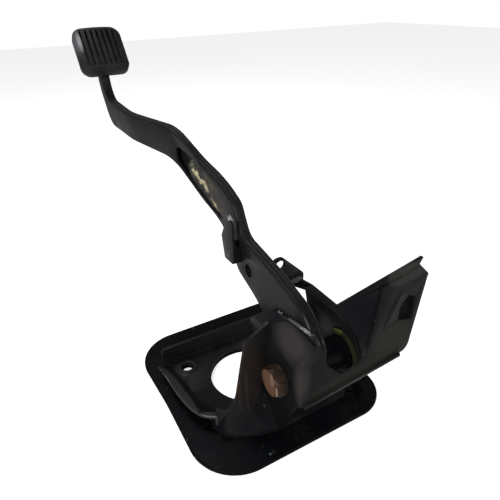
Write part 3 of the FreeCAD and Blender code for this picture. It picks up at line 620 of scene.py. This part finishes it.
@dataclass
class PedalArm:
    """Hollow arm, its hub and its hook."""

    effects: SurfaceEffects
    edge_round: float = 0.25
    face_x: float = 8.0
    jog: tuple[float, float] = (38.0, 66.0)
    jog_slope: float = 0.25
    arm_slope: Triple = (0.62, 0.0, 0.0)

    def paint(self) -> SurfaceFinish:
        """Arm paint with the greasy rubbed patch and pale scuffs."""
        pale = (0.55, 0.55, 0.52)
        return dipped_paint("arm_paint", (
            # grease over the window, shine along the upper edge
            Mark((8.0, 58.0, 137.0), (9.0, 17.0, 6.0), (0.060, 0.057, 0.048), 0.45, 0.8, 330.0, self.arm_slope),
            Mark((0.0, 87.0, 157.5), (9.0, 26.0, 2.6), (0.055, 0.054, 0.060), 0.6, 0.2, 60.0, (0.53, 0.0, 0.0)),
            # pale scuffs by the hook, lighter towards the pivot
            Mark((8.0, 31.6, 117.7), (3.0, 6.0, 5.0), pale, 0.75, 0.7, 380.0),
            Mark((4.0, 22.0, 97.0), (3.6, 6.0, 5.0), (0.42, 0.42, 0.40), 0.8, 0.5, 300.0),
            Mark((8.0, -20.0, 88.0), (3.0, 40.0, 14.0), (0.038, 0.037, 0.038), 0.6, 0.4, 45.0),
        ), colour=(0.0120, 0.0120, 0.0145))

    def build(self) -> list[bpy.types.Object]:
        """Make the two halves, the hub and the hook.

        Returns:
            The pieces.
        """
        finish = self.paint()
        face = finish.material(self.effects)
        edge = dipped_paint("arm_edge_paint", finish.marks, wear=0.9, clouds=0.9, second=(0.05, 0.05, 0.052),
                            bare=(0.18, 0.175, 0.17)).material(self.effects)
        pieces = []
        # the hub and its weld bead get a darker copy of the paint: painted shade between the arm and the wing
        shade = dipped_paint("hub_painted_shade", colour=(0.0035, 0.0040, 0.0062), second=(0.0070, 0.0072, 0.0085),
                             specular=0.06, roughness=0.42).material(self.effects)
        for node in ("arm_near_shell", "arm_far_shell", "side_hook", "hub_tube"):
            piece = softened_copy(node, node + "_skin", self.edge_round)
            dress(piece, Slot.PAINT, *((shade, shade) if node == "hub_tube" else (face, edge)))
            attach(piece, Body.PEDAL.value)
            pieces.append(piece)
        pieces.append(self.hub_weld(shade))
        pieces.append(self.window_grease())
        return pieces

    def near_face(self, y: float) -> float:
        """Find the near face, which runs straight, bends through the jog and goes on at its slope.

        Args:
            y: Place along the arm, in millimetres.

        Returns:
            The x of the face there, in millimetres.
        """
        start, end = self.jog
        if y < start:
            return self.face_x
        if y > end:
            return self.face_x - self.jog_slope * (y - (start + end) / 2.0)
        return self.face_x - self.jog_slope * (y - start) ** 2 / (2.0 * (end - start))

    def window_grease(self) -> bpy.types.Object:
        """Old grease that has set inside the long opening.

        Returns:
            The lump, which lies on the far half's inner wall.
        """
        depth, half_thickness = 3.4, 3.3
        # y, z and radius of each blob, in millimetres
        blobs = ((82.0, 141.5, 10.0), (76.0, 138.5, 12.0), (69.0, 134.5, 13.0), (62.0, 130.0, 13.0),
                 (55.0, 126.0, 12.0), (49.0, 122.5, 10.0))
        parts = []
        for y, z, reach in blobs:
            deselect_all()
            x = self.near_face(y) + depth
            bpy.ops.mesh.primitive_ico_sphere_add(subdivisions=4, radius=reach * MM,
                                                  location=(x * MM, y * MM, z * MM))
            parts.append(bpy.context.object)
            parts[-1].scale = (half_thickness / reach, 1.0, 1.0)
            settle(parts[-1])
        deselect_all()
        for part in parts:
            part.select_set(True)
        bpy.context.view_layer.objects.active = parts[0]
        bpy.ops.object.join()
        lump = bpy.context.object
        lump.name = "window_grease"
        lump.data.name = "window_grease"
        melt = lump.modifiers.new("melt", "REMESH")
        melt.mode = "VOXEL"
        melt.voxel_size = 0.45 * MM
        for scale, strength in ((5.0, 1.6), (1.6, 0.7)):
            folds = lump.modifiers.new("folds", "DISPLACE")
            clouds = bpy.data.textures.new("grease_folds", "CLOUDS")
            clouds.noise_scale = scale * MM
            folds.texture = clouds
            folds.texture_coords = "LOCAL"
            folds.strength = strength * MM
            folds.mid_level = 0.65
        apply_modifiers(lump)
        bpy.ops.object.shade_smooth()
        cream = (0.62, 0.56, 0.33)
        finish = SurfaceFinish("old_grease", (0.026, 0.024, 0.020), (0.085, 0.077, 0.055), (0.010, 0.009, 0.007),
                               (0.45, 0.42, 0.33), 0.42, 0.2, wear=0.4, clouds=0.9, specks=0.5, cloud_scale=150.0,
                               speck_scale=1100.0, scratch_scale=200.0, peel=0.0002, marks=(
                                   # two fresh streaks, and a dark stretch below
                                   Mark((2.0, 72.0, 139.5), (8.0, 14.0, 3.0), cream, 0.9, 0.8, 240.0, self.arm_slope),
                                   Mark((5.0, 55.0, 122.0), (8.0, 6.0, 1.6), cream, 0.8, 0.9, 420.0, (0.72, 0.0,
                                        0.0)),
                                   Mark((2.0, 70.0, 129.0), (8.0, 18.0, 5.0), (0.012, 0.011, 0.010), 0.8, 0.8, 260.0,
                                        self.arm_slope)))
        dress(lump, Slot.PAINT, finish.material(self.effects))
        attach(lump, Body.PEDAL.value)
        return lump

    def hub_weld(self, paint: bpy.types.Material) -> bpy.types.Object:
        """Rippled weld bead round the hub where it leaves the arm's far face.

        Args:
            paint: Material of the bead.

        Returns:
            The bead.
        """
        far_face, hub_radius, bead_radius = 16.6, 13.6, 1.5
        deselect_all()
        bpy.ops.mesh.primitive_torus_add(
            location=(far_face * MM, PIVOT_Y * MM, PIVOT_Z * MM), rotation=(0.0, math.pi / 2.0, 0.0),
            major_radius=hub_radius * MM, minor_radius=bead_radius * MM, major_segments=72, minor_segments=10)
        bead = bpy.context.object
        bead.name = "hub_weld_bead"
        settle(bead)
        ripple = bead.modifiers.new("ripple", "DISPLACE")
        waves = bpy.data.textures.new("weld_ripple", "CLOUDS")
        waves.noise_scale = 2.2 * MM
        ripple.texture = waves
        ripple.texture_coords = "LOCAL"
        ripple.strength = 0.9 * MM
        ripple.mid_level = 0.6
        apply_modifiers(bead)
        bpy.ops.object.shade_smooth()
        dress(bead, Slot.PAINT, paint)
        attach(bead, Body.PEDAL.value)
        return bead


@dataclass
class FootPad:
    """Ribbed rubber pad on its steel plate."""

    effects: SurfaceEffects

    def rim_shine(self) -> tuple[Mark, ...]:
        """Painted highlights along the pad's left and top rim."""
        return (
            Mark((-37.0, 250.0, 222.0), (7.5, 19.0, 20.0), (0.12, 0.12, 0.13), 0.85, 0.1, 60.0,
                 roughness=0.35, soft=0.9),
            Mark((-33.0, 250.0, 222.5), (3.6, 13.0, 13.0), (0.36, 0.36, 0.38), 0.9, 0.15, 90.0,
                 roughness=0.35, soft=0.8),
            Mark((-22.0, 259.0, 232.5), (18.0, 2.2, 2.2), (0.16, 0.16, 0.165), 0.7, 0.3, 120.0, roughness=0.4),
        )

    def rubber(self) -> SurfaceFinish:
        """Worn rubber, dusty between the ribs."""
        return SurfaceFinish("pad_rubber", (0.0085, 0.0090, 0.0110), (0.015, 0.015, 0.017), (0.050, 0.050, 0.050),
                             (0.055, 0.055, 0.055), 0.40, 0.22, wear=0.25, clouds=0.8, specks=0.35,
                             cloud_scale=70.0, speck_scale=900.0, peel=0.00006, specular=0.3,
                             marks=self.rim_shine())

    def build(self) -> list[bpy.types.Object]:
        """Make the pad with softened rib edges and dress the foot plate.

        Returns:
            The pieces.
        """
        finish = self.rubber()
        pad = softened_copy("rubber_pad", "rubber_pad_worn", 0.4, 3, 20.0)
        rubber = finish.material(self.effects)
        dress(pad, Slot.RUBBER, rubber, rubber)
        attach(pad, Body.PEDAL.value)
        refinish("foot_plate", dipped_paint("foot_plate_paint").material(self.effects))
        return [pad]


@dataclass
class Studio:
    """Camera, lamps, world and floor.

    Attributes:
        lens: Focal length, in millimetres.
        sensor: Width of the picture on the sensor, in millimetres.
        place: Place of the camera, in millimetres.
        right: Direction across the picture.
        down: Direction down the picture.
        forward: Direction into the picture.
        aim: Point that the lamps look at, in metres.
        soft_light: Strength of the world as light.
        seen_extra: What the world adds to it where the camera sees it.
        floor_glow: What the floor adds to its own white for the camera.
    """

    lens: float = 32.4
    sensor: float = 36.0
    place: Triple = (-114.815, -226.353, 258.583)
    right: Triple = (0.875023, -0.483324, -0.027059)
    down: Triple = (-0.261263, -0.424463, -0.866933)
    forward: Triple = (0.407524, 0.765656, -0.497690)
    aim: Triple = (0.0, 0.06, 0.08)
    soft_light: float = 0.18
    seen_extra: float = 0.82
    floor_glow: float = 0.72

    def camera(self) -> None:
        """Set up the camera at the fitted place."""
        data = bpy.data.cameras.new("view")
        data.lens = self.lens
        data.sensor_width = self.sensor
        data.clip_start = 0.01
        camera = bpy.data.objects.new("view", data)
        axes = (Vector(self.right), -Vector(self.down), -Vector(self.forward))
        turn = Matrix((axes[0], axes[1], axes[2])).transposed().to_4x4()
        camera.matrix_world = Matrix.Translation(Vector(self.place) * MM) @ turn
        bpy.context.scene.collection.objects.link(camera)
        bpy.context.scene.camera = camera

    def lamp(self, name: str, place: Triple, watts: float, size: float) -> None:
        """Hang one soft lamp that looks at the middle of the object.

        Args:
            name: Name of the lamp.
            place: Place in metres.
            watts: Power.
            size: Side of its square in metres.
        """
        data = bpy.data.lights.new(name, "AREA")
        data.energy = watts
        data.size = size
        lamp = bpy.data.objects.new(name, data)
        lamp.location = place
        aim = Vector(self.aim) - Vector(place)
        lamp.rotation_euler = aim.to_track_quat("-Z", "Y").to_euler()
        bpy.context.scene.collection.objects.link(lamp)

    def world(self) -> None:
        """Make a plain world, white to the camera and softer as light."""
        world = bpy.data.worlds.new("plain")
        bpy.context.scene.world = world
        world.use_nodes = True
        world.node_tree.nodes.clear()
        desk = NodeDesk(world.node_tree)
        path = desk.add("LightPath")
        seen = desk.math("MAXIMUM", path.outputs["Is Camera Ray"], path.outputs["Is Transmission Ray"])
        strength = desk.math("ADD", desk.math("MULTIPLY", seen, self.seen_extra), self.soft_light)
        light = desk.add("Background", {"Color": (1.0, 1.0, 1.0, 1.0), "Strength": strength})
        out = desk.add("OutputWorld")
        desk.tree.links.new(light.outputs[0], out.inputs[0])

    def floor(self) -> None:
        """Lay a white floor that keeps the object's shadow."""
        deselect_all()
        bpy.ops.mesh.primitive_plane_add(size=6.0, location=(0.0, 0.0, -0.0002))
        plane = bpy.context.object
        plane.name = "studio_floor"
        white = bpy.data.materials.new("studio_white")
        white.use_nodes = True
        white.node_tree.nodes.clear()
        desk = NodeDesk(white.node_tree)
        path = desk.add("LightPath")
        card = desk.add("BsdfDiffuse", {"Color": (0.86, 0.86, 0.86, 1.0)})
        glow = desk.add("Emission", {"Color": (1.0, 1.0, 1.0, 1.0), "Strength": self.floor_glow})
        both = desk.add("AddShader", {0: card.outputs[0], 1: glow.outputs[0]})
        seen = desk.add("MixShader", {0: path.outputs["Is Camera Ray"], 1: card.outputs[0], 2: both.outputs[0]})
        out = desk.add("OutputMaterial")
        desk.tree.links.new(seen.outputs[0], out.inputs[0])
        plane.data.materials.append(white)

    def build(self) -> None:
        """Set the whole studio."""
        scene = bpy.context.scene
        scene.view_settings.view_transform = "Standard"
        self.camera()
        self.world()
        self.floor()
        self.lamp("key", (-0.85, -0.55, 0.60), 6.5, 0.30)
        self.lamp("side", (0.70, -0.95, 0.45), 2.6, 0.35)
        self.lamp("top", (-0.10, 0.50, 1.10), 4.0, 0.40)


def main() -> None:
    """Build each sub-assembly and report its pieces."""
    logging.basicConfig(level=logging.INFO, format="%(message)s")
    effects = SurfaceEffects()
    for maker in (PressedBracket(effects), PivotHardware(effects), PedalArm(effects), FootPad(effects)):
        for piece in maker.build():
            LOG.info("%s: %s, %d faces", type(maker).__name__, piece.name, len(piece.data.polygons))
    Studio().build()
    deselect_all()


if __name__ == "__main__":
    main()
